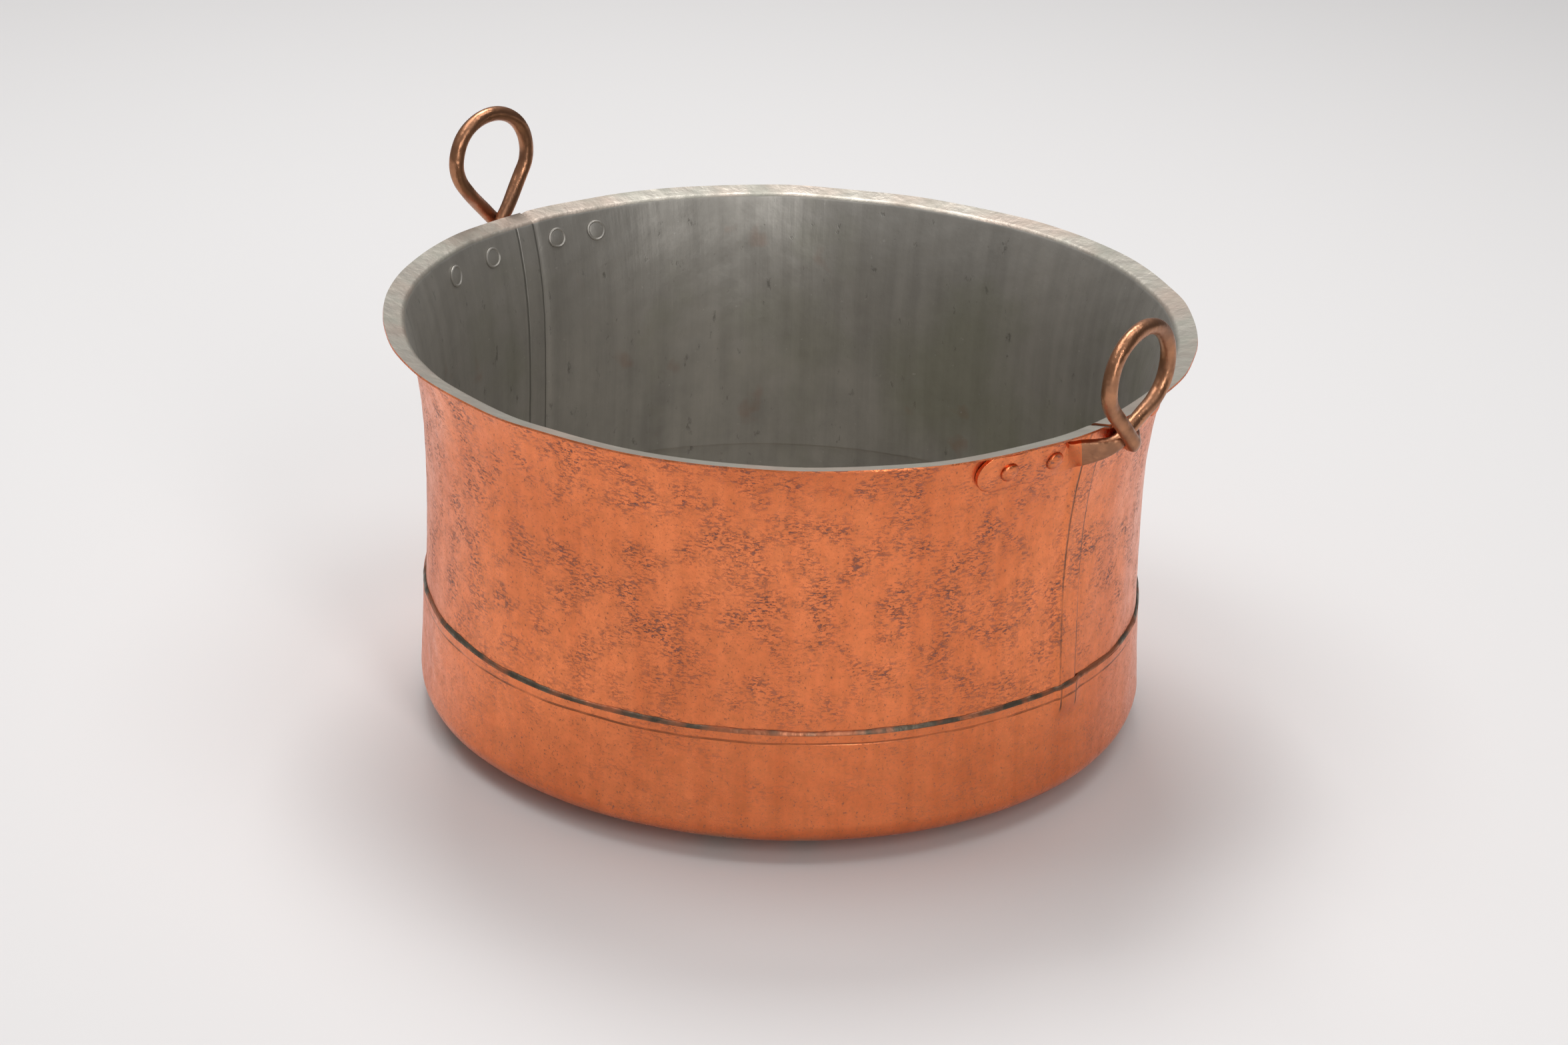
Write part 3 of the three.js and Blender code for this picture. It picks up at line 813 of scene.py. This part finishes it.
@dataclass
class Solder:
    """The ring of solder on the pan's edge and the strip in each lap's corner. Sizes in millimetres."""

    wall: Wall
    ring_width: float = 1.7
    ring_width_change: float = 0.35
    ring_height: float = 2.6
    ring_height_change: float = 0.6
    ring_fullness: float = 1.3
    ring_off_wall: float = 0.12
    ring_off_pan: float = 0.08
    ring_rows: int = 6
    ring_columns: int = 900
    strip_above_pan: float = 3.4
    strip_top: float = 239.8
    strip_off_lap: float = 0.05
    strip_off_wall: float = 0.1
    strip_depth: float = 1.35
    strip_width: float = 1.8
    strip_width_change: float = 0.5
    strip_middle: tuple[float, float] = (1.0, 0.75)
    strip_middle_change: tuple[float, float] = (0.3, 0.2)
    strip_rows: int = 160

    def ring(self) -> Any:
        """Builds the ring: a rounded fillet of uneven width and height against the wall.

        Returns:
            The Blender object.
        """
        turn = np.linspace(0, 2 * math.pi, self.ring_columns, endpoint=False)
        uneven = 0.5 * np.sin(19 * turn) + 0.3 * np.sin(43 * turn + 1) + 0.2 * np.sin(97 * turn + 2)
        out = self.wall.swell(turn) * (self.wall.thickness + self.wall.gap) + self.ring_off_wall
        width = self.ring_width + self.ring_width_change * uneven
        high = self.ring_height + self.ring_height_change * uneven
        foot = self.wall.pan_height + self.ring_off_pan
        quarter = np.linspace(0, 1, self.ring_rows) * math.pi / 2
        across = np.cos(quarter) ** self.ring_fullness
        rise = np.sin(quarter) ** self.ring_fullness
        z = foot + high[:, None] * rise
        radius = self.wall.radius(z) + out[:, None] + width[:, None] * across
        back = (self.wall.radius(np.array(foot)) + out)[:, None]
        ring_r = np.concatenate([radius, back], axis=1)
        ring_z = np.concatenate([z, np.full_like(back, foot)], axis=1)
        places = polar(turn[:, None], ring_r, ring_z)
        faces = grid_faces(len(turn), self.ring_rows + 1, True, True)
        return make_piece("base_solder", places, faces, [SOLDER])

    def strip(self, name: str, start: float) -> Any:
        """Builds the strip in the corner of one upright lap: four lines up the wall, closed round.

        Args:
            name: the piece's name.
            start: where the lap is, in degrees.

        Returns:
            The Blender object.
        """
        z = np.linspace(self.wall.pan_height + self.strip_above_pan, self.strip_top, self.strip_rows)
        foot = float(self.wall.radius(np.array(self.wall.pan_height)))
        uneven = np.sin(z * 0.37 + start) * 0.25 + np.sin(z * 0.11) * 0.3
        base = np.full_like(z, self.wall.lap / 2 + self.strip_off_lap)
        low = np.full_like(z, self.strip_off_wall)
        middle = [flat + change * uneven for flat, change in zip(self.strip_middle, self.strip_middle_change)]
        wide = base + self.strip_width + self.strip_width_change * uneven
        along = np.stack([base, base + middle[0], wide, base], axis=-1)
        out = np.stack([np.full_like(z, self.strip_depth), middle[1], low, low], axis=-1)
        at = self.wall.outside(np.repeat(z[:, None], 4, axis=1), out)
        places = polar(start * RAD + along / foot, at[..., 0], at[..., 1])
        last = 4 * (len(z) - 1)
        caps = np.array([[3, 2, 1, 0], [last, last + 1, last + 2, last + 3]])
        faces = np.concatenate([grid_faces(len(z), 4, False, True), caps])
        return make_piece(name, places, faces, [SOLDER])


@dataclass
class Handle:
    """A forged bar: a loop above the lip whose legs cross and run out into two flat riveted pads.

    Lengths are in millimetres and the angles that place the handle in degrees. A side is -1 for the pad
    clockwise of the handle's middle and 1 for the other. Along the bar a squareness of 2 is a round section.
    """

    wall: Wall
    name: str
    bearing: float
    lean: float
    twist: float
    skew: float
    shift_across: float
    shift_up: float
    outer_leg: int
    rivets: tuple[float, float, float, float]
    bar: float = 10.0
    thin: float = 8.8
    half_width: float = 32.2
    half_height: float = 30.1
    loop_centre: float = 40.8
    crossing: float = -5.8
    standoff: float = 8.0
    pad_height: float = 25.0
    pad_thickness: float = 3.0
    pad_below: float = 18.0
    pad_gap: float = 0.45
    heel: float = 10.0
    toe: float = 22.0
    toe_turns: tuple[float, ...] = (8, 20, 34, 50, 70)
    arm_swell: float = 3.0
    arm_drop: float = 0.3
    arm_shares: tuple[float, ...] = (0.22, 0.5, 0.78)
    leg_shares: tuple[float, ...] = (0, 0.3, 0.65)
    ease: float = 1.5
    bar_square: float = 2.0
    toe_square: float = 8.0
    pad_square: float = 10.0
    worn_from_square: float = 6.0
    hammered_from: float = 2.2
    hammer_depths: tuple[float, float] = (0.022, 0.018)
    loop_stops: int = 15
    pad_stops: int = 7
    parts: int = 10
    columns: int = 32

    def face_out(self) -> Array:
        """The level direction out of the tub at the handle's middle line."""
        return np.array([math.cos(self.bearing * RAD), math.sin(self.bearing * RAD), 0.0])

    def on_wall(self, around: float, out: float) -> tuple[Array, Array]:
        """A place on the wall at the pads' height.

        Args:
            around: how far round the wall it is from the handle's middle line.
            out: how far out of the wall it is.

        Returns:
            The place and the way out of the wall there.
        """
        z = self.wall.rim_height - self.pad_below
        turn = np.array(self.bearing * RAD + around / float(self.wall.radius(np.array(z))))
        at = self.wall.outside(np.array(z), out)
        way = self.wall.normal(np.array(z))
        return polar(turn, at[0], at[1]), polar(turn, way[0], way[1])

    def on_loop(self, across: float, up: float, out: float) -> Array:
        """A place in the loop's plane, turned by the skew, leaned and twisted as this handle is.

        Args:
            across: how far it is from the loop's middle line.
            up: how far it is above the rim.
            out: how far it is out of the rim.

        Returns:
            The place.
        """
        skew = self.skew * RAD
        u = across * math.cos(skew) - up * math.sin(skew) + self.shift_across
        v = across * math.sin(skew) + up * math.cos(skew) + self.shift_up
        w = out + v * math.tan(self.lean * RAD) + u * math.tan(self.twist * RAD)
        radius = self.wall.rim_radius + w
        c, s = math.cos(self.bearing * RAD), math.sin(self.bearing * RAD)
        return np.array([radius * c - u * s, radius * s + u * c, self.wall.rim_height + v])

    @staticmethod
    def stop(place: Array, out: Array, half_height: float, half_thick: float, square: float) -> Array:
        """One stop on the bar as a row: place, outward side, half height, half thickness, squareness."""
        return np.concatenate([place, out, [half_height, half_thick, square]])

    def pad(self, side: int) -> list[Array]:
        """Stops of one pad: a round toe, then straight edges to the heel.

        Args:
            side: which pad.

        Returns:
            The stops from toe to heel.
        """
        inner, outer = (self.rivets[1], self.rivets[0]) if side < 0 else (self.rivets[2], self.rivets[3])
        heel, toe = inner - side * self.heel, outer + side * self.toe
        half = self.pad_height / 2
        rows = []
        for turn in self.toe_turns:
            around = toe - side * half * (1 - math.cos(turn * RAD))
            rows.append((around, half * math.sin(turn * RAD), self.toe_square))
        straight = np.linspace(toe - side * half, heel, self.pad_stops)
        rows += [(around, half, self.pad_square) for around in straight]
        stops = []
        for around, high, square in rows:
            place, out = self.on_wall(around, self.pad_gap + self.pad_thickness / 2)
            stops.append(self.stop(place, out, high, self.pad_thickness / 2, square))
        return stops

    def touch(self) -> float:
        """The angle below level at which a straight leg from the crossing would leave the loop."""
        return math.asin(self.half_height / (self.loop_centre - self.crossing))

    def crossing_out(self, outer: bool) -> float:
        """How far out of the rim a leg's middle passes at the crossing, with a gap between the legs."""
        inner = self.thin / 2 + self.wall.gap
        return inner + self.thin + self.wall.gap if outer else inner

    def leg(self, side: int) -> list[Array]:
        """Stops from the crossing up to the loop.

        Args:
            side: which side of the loop the leg meets.

        Returns:
            The stops, lowest first.
        """
        start = self.crossing_out(side == self.outer_leg)
        across = self.half_width * math.cos(self.touch())
        rise = self.loop_centre - self.half_height * math.sin(self.touch()) - self.crossing
        round_, thin = self.bar / 2, self.thin / 2
        stops = []
        for share in self.leg_shares:
            out = start + (self.standoff - start) * share ** self.ease
            place = self.on_loop(side * across * share, self.crossing + rise * share, out)
            half_thick = thin + (round_ - thin) * share
            stops.append(self.stop(place, self.face_out(), round_, half_thick, self.bar_square))
        return stops

    def loop(self) -> list[Array]:
        """Stops round the loop, an ellipse that stands off the lip.

        Returns:
            The stops, from the leg on side 1 to the leg on side -1.
        """
        half = self.bar / 2
        stops = []
        for turn in np.linspace(-self.touch(), math.pi + self.touch(), self.loop_stops):
            up = self.loop_centre + self.half_height * math.sin(turn)
            place = self.on_loop(self.half_width * math.cos(turn), up, self.standoff)
            stops.append(self.stop(place, self.face_out(), half, half, self.bar_square))
        return stops

    def arm(self, side: int) -> list[Array]:
        """Stops from the crossing in under the lip to the heel of a pad, growing flat on the way.

        Args:
            side: which pad the arm runs to.

        Returns:
            The stops, crossing first.
        """
        start = self.on_loop(0, self.crossing, self.crossing_out(side == -self.outer_leg))
        heel, out = self.pad(side)[-1], self.face_out()
        level = self.wall.rim_height - self.pad_below
        round_, thin = self.bar / 2, self.thin / 2
        stops = []
        for share in self.arm_shares:
            place = start + (heel[:3] - start) * share
            sag = math.sin(math.pi * share)
            place[2] -= sag * max(0.0, place[2] - level) * self.arm_drop
            place = place + out * sag * self.arm_swell
            grow = share ** self.ease
            facing = out + (heel[3:6] - out) * share
            half_height = round_ + (self.pad_height / 2 - round_) * grow
            half_thick = thin + (self.pad_thickness / 2 - thin) * share
            square = self.bar_square + (self.toe_square - self.bar_square) * grow
            stops.append(self.stop(place, facing, half_height, half_thick, square))
        return stops

    def sections(self) -> Array:
        """The bar from the clockwise pad, round the loop, to the other pad, as a smooth curve.

        Returns:
            One row for each section: place, outward side, half height, half thickness, squareness.
        """
        first = self.pad(-1) + self.arm(-1)[::-1] + self.leg(1)
        second = self.leg(-1)[::-1] + self.arm(1) + self.pad(1)[::-1]
        return catmull_rom(np.array(first + self.loop() + second), self.parts)

    def build(self) -> Any:
        """Carries a section along the bar: a superellipse that is round at the loop and flat at the pads.

        Returns:
            The Blender object.
        """
        fine = self.sections()
        place, out, half_high, half_thick = fine[:, :3], fine[:, 3:6], fine[:, 6:7], fine[:, 7:8]
        along = np.gradient(place, axis=0)
        along /= np.linalg.norm(along, axis=1, keepdims=True)
        out = out - along * np.sum(out * along, axis=1, keepdims=True)
        out /= np.linalg.norm(out, axis=1, keepdims=True)
        up = np.cross(out, along)
        turn = np.linspace(0, 2 * math.pi, self.columns, endpoint=False) + math.pi / self.columns
        power = 2 / np.maximum(fine[:, 8:9], 2)
        c, s = np.cos(turn)[None], np.sin(turn)[None]
        high = np.sign(s) * np.abs(s) ** power * half_high
        thick = np.sign(c) * np.abs(c) ** power * half_thick
        walk = np.arange(len(fine))[:, None]
        slow, fast = self.hammer_depths[1], self.hammer_depths[0]
        hammer = fast * np.sin(walk * 0.21 + 3 * turn) + slow * np.sin(walk * 0.13 - 2 * turn + self.bearing)
        high, thick = high * (1 + hammer), thick * (1 + hammer * (half_thick > self.hammered_from))
        points = place[:, None] + up[:, None] * high[..., None] + out[:, None] * thick[..., None]
        rows, columns = points.shape[:2]
        half = np.arange(columns // 2 - 1)
        first = np.stack([half, half + 1, columns - 2 - half, columns - 1 - half], axis=-1)
        faces = grid_faces(rows, columns, False, True)
        faces = np.concatenate([faces, first, first + (rows - 1) * columns])
        worn = np.where(fine[:-1, 8] > self.worn_from_square, Grip.PAD, Grip.BAR)
        choice = np.concatenate([np.repeat(worn, columns), np.full(2 * len(half), Grip.PAD)])
        return make_piece(f"handle_{self.name}", points, faces, [FORGED, COPPER], choice)


@dataclass
class Rivet:
    """One rivet of a handle: a hollow ringed head inside, a shank and a worn dome outside, in millimetres.

    The face holds the inner head's radii and depths from its middle to its rim.
    """

    handle: Handle
    number: int
    face: tuple[tuple[float, float], ...] = (
        (0, 1.0), (4.4, 1.0), (5.5, 0.7), (6.4, 1.3), (7.2, 0.9), (7.4, 0.4), (7.3, 0))
    shank: float = 2.55
    dome_radius: float = 6.0
    dome_edge: float = 0.5
    dome_height: float = 2.2
    dome_rows: int = 9
    off_wall: float = 0.2
    off_pad: float = 0.1
    columns: int = 32

    def outline(self) -> tuple[Array, Array]:
        """The rivet's outline: the head's face, the shank, and a quarter of an ellipse for the dome.

        Returns:
            The radii, and the heights out of the wall.
        """
        inner = -(self.handle.wall.thickness + self.off_wall)
        outer = self.handle.pad_gap + self.handle.pad_thickness + self.off_pad
        face_radius, depth = np.array(self.face).T
        dome = np.linspace(0, math.pi / 2, self.dome_rows)
        radius = [self.shank, self.shank, self.dome_radius]
        radii = np.concatenate([face_radius, radius, self.dome_radius * np.cos(dome)])
        crown = outer + self.dome_edge + self.dome_height * np.sin(dome)
        return radii, np.concatenate([inner - depth, [inner, outer, outer], crown])

    def build(self) -> Any:
        """Turns the outline round the rivet's axis, with a slight unevenness round it.

        Returns:
            The Blender object.
        """
        place, way = self.handle.on_wall(self.handle.rivets[self.number], 0)
        radius, height = self.outline()
        side = np.cross([0.0, 0.0, 1.0], way)
        side /= np.linalg.norm(side)
        other = np.cross(way, side)
        turn = np.linspace(0, 2 * math.pi, self.columns, endpoint=False)[:, None]
        knock = 1 + 0.03 * np.sin(2 * turn + self.number) + 0.02 * np.sin(3 * turn + 2 * self.number)
        points = place + way * height[None, :, None] + side * (radius * np.cos(turn) * knock)[..., None]
        points = points + other * (radius * np.sin(turn) * knock)[..., None]
        faces = grid_faces(self.columns, len(radius), True, False)
        tinned = np.arange(len(radius) - 1) < len(self.face)
        choice = np.tile(np.where(tinned, Skin.TIN, Skin.COPPER), self.columns)
        name = f"rivet_{self.handle.name}_{self.number + 1}"
        return make_piece(name, points, faces, [COPPER, TIN], choice)


def catmull_rom(stops: Array, parts: int) -> Array:
    """A centripetal Catmull-Rom curve through rows of stops, spaced by the square root of their distance.

    Args:
        stops: one row for each stop, its place first.
        parts: how many rows each stretch between two stops is cut into.

    Returns:
        The rows along the curve.
    """
    ends = np.concatenate([2 * stops[:1] - stops[1:2], stops, 2 * stops[-1:] - stops[-2:-1]])
    gaps = np.linalg.norm(np.diff(ends[:, :3], axis=0), axis=1) ** 0.5
    knots = np.concatenate([[0.0], np.cumsum(np.maximum(gaps, 1e-4))])[:, None, None]
    p0, p1, p2, p3 = ends[:-3, None], ends[1:-2, None], ends[2:-1, None], ends[3:, None]
    t0, t1, t2, t3 = knots[:-3], knots[1:-2], knots[2:-1], knots[3:]
    t = t1 + (t2 - t1) * np.linspace(0, 1, parts, endpoint=False)[None, :, None]
    a1 = (t1 - t) / (t1 - t0) * p0 + (t - t0) / (t1 - t0) * p1
    a2 = (t2 - t) / (t2 - t1) * p1 + (t - t1) / (t2 - t1) * p2
    a3 = (t3 - t) / (t3 - t2) * p2 + (t - t2) / (t3 - t2) * p3
    b1 = (t2 - t) / (t2 - t0) * a1 + (t - t0) / (t2 - t0) * a2
    b2 = (t3 - t) / (t3 - t1) * a2 + (t - t1) / (t3 - t1) * a3
    curve = (t2 - t) / (t2 - t1) * b1 + (t - t1) / (t2 - t1) * b2
    return np.concatenate([curve.reshape(-1, stops.shape[1]), stops[-1:]])


@dataclass(frozen=True)
class Lamp:
    """A soft lamp: degrees round the tub from the camera, reach, height and size in metres, and watts."""

    name: str
    bearing: float
    reach: float
    height: float
    size: tuple[float, float]
    power: float


@dataclass
class Studio:
    """A pale floor, soft lamps, a pale surround and the camera at the photograph's angle, in metres."""

    focal_pixels: float = 4815.0
    image_width: float = 2352.0
    sensor_width: float = 36.0
    distance: float = 2.1619
    elevation: float = 24.07 * RAD
    bearing: float = -49 * RAD
    roll: float = 1.98 * RAD
    pitch: float = 0.06 * RAD
    aim_height: float = 0.1218
    lamp_aim_height: float = 0.15
    floor_size: float = 16.0
    floor_color: tuple[float, ...] = rgb(0.74, 0.725, 0.72)
    floor_rough: float = 0.75
    low_color: tuple[float, ...] = rgb(0.40, 0.395, 0.39)
    high_color: tuple[float, ...] = rgb(0.95, 0.95, 0.96)
    dim_color: tuple[float, ...] = rgb(0.12, 0.12, 0.12)
    dim_share: float = 0.8
    glow: float = 0.40
    lamps: tuple[Lamp, ...] = (
        Lamp("band", 23, 2.3, 1.2, (0.5, 2.0), 19),
        Lamp("left", -90, 1.2, 3.2, (1.5, 1.5), 27),
        Lamp("right", 90, 1.2, 3.2, (1.5, 1.5), 20),
        Lamp("back", 188, 1.5, 3.0, (1.3, 1.3), 54))

    def camera(self) -> None:
        """Places the camera: aimed at the tub's axis, tipped up by the pitch, then rolled."""
        lens = bpy.data.cameras.new("camera")
        lens.sensor_width = self.sensor_width
        lens.lens = self.focal_pixels / self.image_width * self.sensor_width
        lens.clip_end = 100.0
        obj = bpy.data.objects.new("camera", lens)
        flat = self.distance * math.cos(self.elevation)
        rise = self.distance * math.sin(self.elevation)
        back = Vector((flat * math.cos(self.bearing), flat * math.sin(self.bearing), rise))
        level = back.normalized()
        right = Vector((0, 0, 1)).cross(level).normalized()
        away = level * math.cos(self.pitch) - level.cross(right) * math.sin(self.pitch)
        up = away.cross(right)
        rolled = right * math.cos(self.roll) + up * math.sin(self.roll)
        rolled_up = up * math.cos(self.roll) - right * math.sin(self.roll)
        turn = Matrix((rolled, rolled_up, away)).transposed().to_4x4()
        obj.matrix_world = Matrix.Translation(back + Vector((0, 0, self.aim_height))) @ turn
        bpy.context.scene.collection.objects.link(obj)
        bpy.context.scene.camera = obj

    def hang(self, lamp: Lamp) -> None:
        """Hangs a lamp so that it faces the tub.

        Args:
            lamp: the lamp.
        """
        light = bpy.data.lights.new(lamp.name, "AREA")
        light.shape = "RECTANGLE"
        light.size, light.size_y = lamp.size
        light.energy = lamp.power
        obj = bpy.data.objects.new(lamp.name, light)
        turn = self.bearing + lamp.bearing * RAD
        place = Vector((lamp.reach * math.cos(turn), lamp.reach * math.sin(turn), lamp.height))
        aim = Vector((0, 0, self.lamp_aim_height)) - place
        obj.matrix_world = Matrix.Translation(place) @ aim.to_track_quat("-Z", "Y").to_matrix().to_4x4()
        bpy.context.scene.collection.objects.link(obj)

    def floor(self) -> None:
        """Lays the pale floor."""
        half = self.floor_size / 2
        mesh = bpy.data.meshes.new("floor")
        corners = [(-half, -half, 0), (half, -half, 0), (half, half, 0), (-half, half, 0)]
        mesh.from_pydata(corners, [], [(0, 1, 2, 3)])
        material = bpy.data.materials.new("pale_floor")
        material.use_nodes = True
        graph = Graph(material.node_tree)
        values = {"Base Color": self.floor_color, "Roughness": self.floor_rough}
        shade = graph.node("ShaderNodeBsdfPrincipled", None, values)
        graph.node("ShaderNodeOutputMaterial", None, {"Surface": shade})
        mesh.materials.append(material)
        obj = bpy.data.objects.new("floor", mesh)
        bpy.context.scene.collection.objects.link(obj)

    def surround(self) -> None:
        """Lights the scene softly from all round, a little darker low down and on the camera's right."""
        world = bpy.data.worlds.new("surround")
        world.use_nodes = True
        bpy.context.scene.world = world
        graph = Graph(world.node_tree)
        at = graph.node("ShaderNodeTexCoord", out="Generated")
        x, y, up = (graph.node("ShaderNodeSeparateXYZ", None, {0: at}, out=axis) for axis in range(3))
        color = graph.mix(graph.between(up, -0.1, 0.9), self.low_color, self.high_color)
        beside = self.bearing + math.pi / 2
        dim = graph.between(x * math.cos(beside) + y * math.sin(beside), 0.0, 0.8)
        color = graph.mix(self.dim_share * dim, color, self.dim_color)
        glow = graph.node("ShaderNodeBackground", None, {"Color": color, "Strength": self.glow})
        graph.node("ShaderNodeOutputWorld", None, {"Surface": glow})

    def build(self) -> None:
        """Sets up the whole studio."""
        self.camera()
        self.floor()
        self.surround()
        for lamp in self.lamps:
            self.hang(lamp)
        bpy.context.scene.view_settings.view_transform = "Standard"


def main() -> None:
    """Builds the studio and the tub in order."""
    logging.basicConfig(level=logging.INFO, format="%(name)s: %(message)s")
    Studio().build()
    wall = Wall()
    wall.sheet("wall_sheet_back", 0)
    wall.sheet("wall_sheet_front", 180)
    Pan(wall).build()
    solder = Solder(wall)
    solder.ring()
    solder.strip("seam_solder_right", 0)
    solder.strip("seam_solder_left", 180)
    right = Handle(wall, "right", bearing=0, lean=2.3, twist=-2.3, skew=-9.45, shift_across=-2.1,
                   shift_up=-7.45, outer_leg=-1, rivets=(-74, -39.8, 39.8, 74),
                   crossing=-2.3, loop_centre=39.9, half_height=29.4)
    left = Handle(wall, "left", bearing=180, lean=2.9, twist=1.2, skew=-3.9, shift_across=4.7,
                  shift_up=1.8, outer_leg=1, rivets=(-60.2, -26.5, 36.4, 83.5))
    for handle in (right, left):
        handle.build()
        for number in range(len(handle.rivets)):
            Rivet(handle, number).build()


if __name__ == "__main__":
    main()
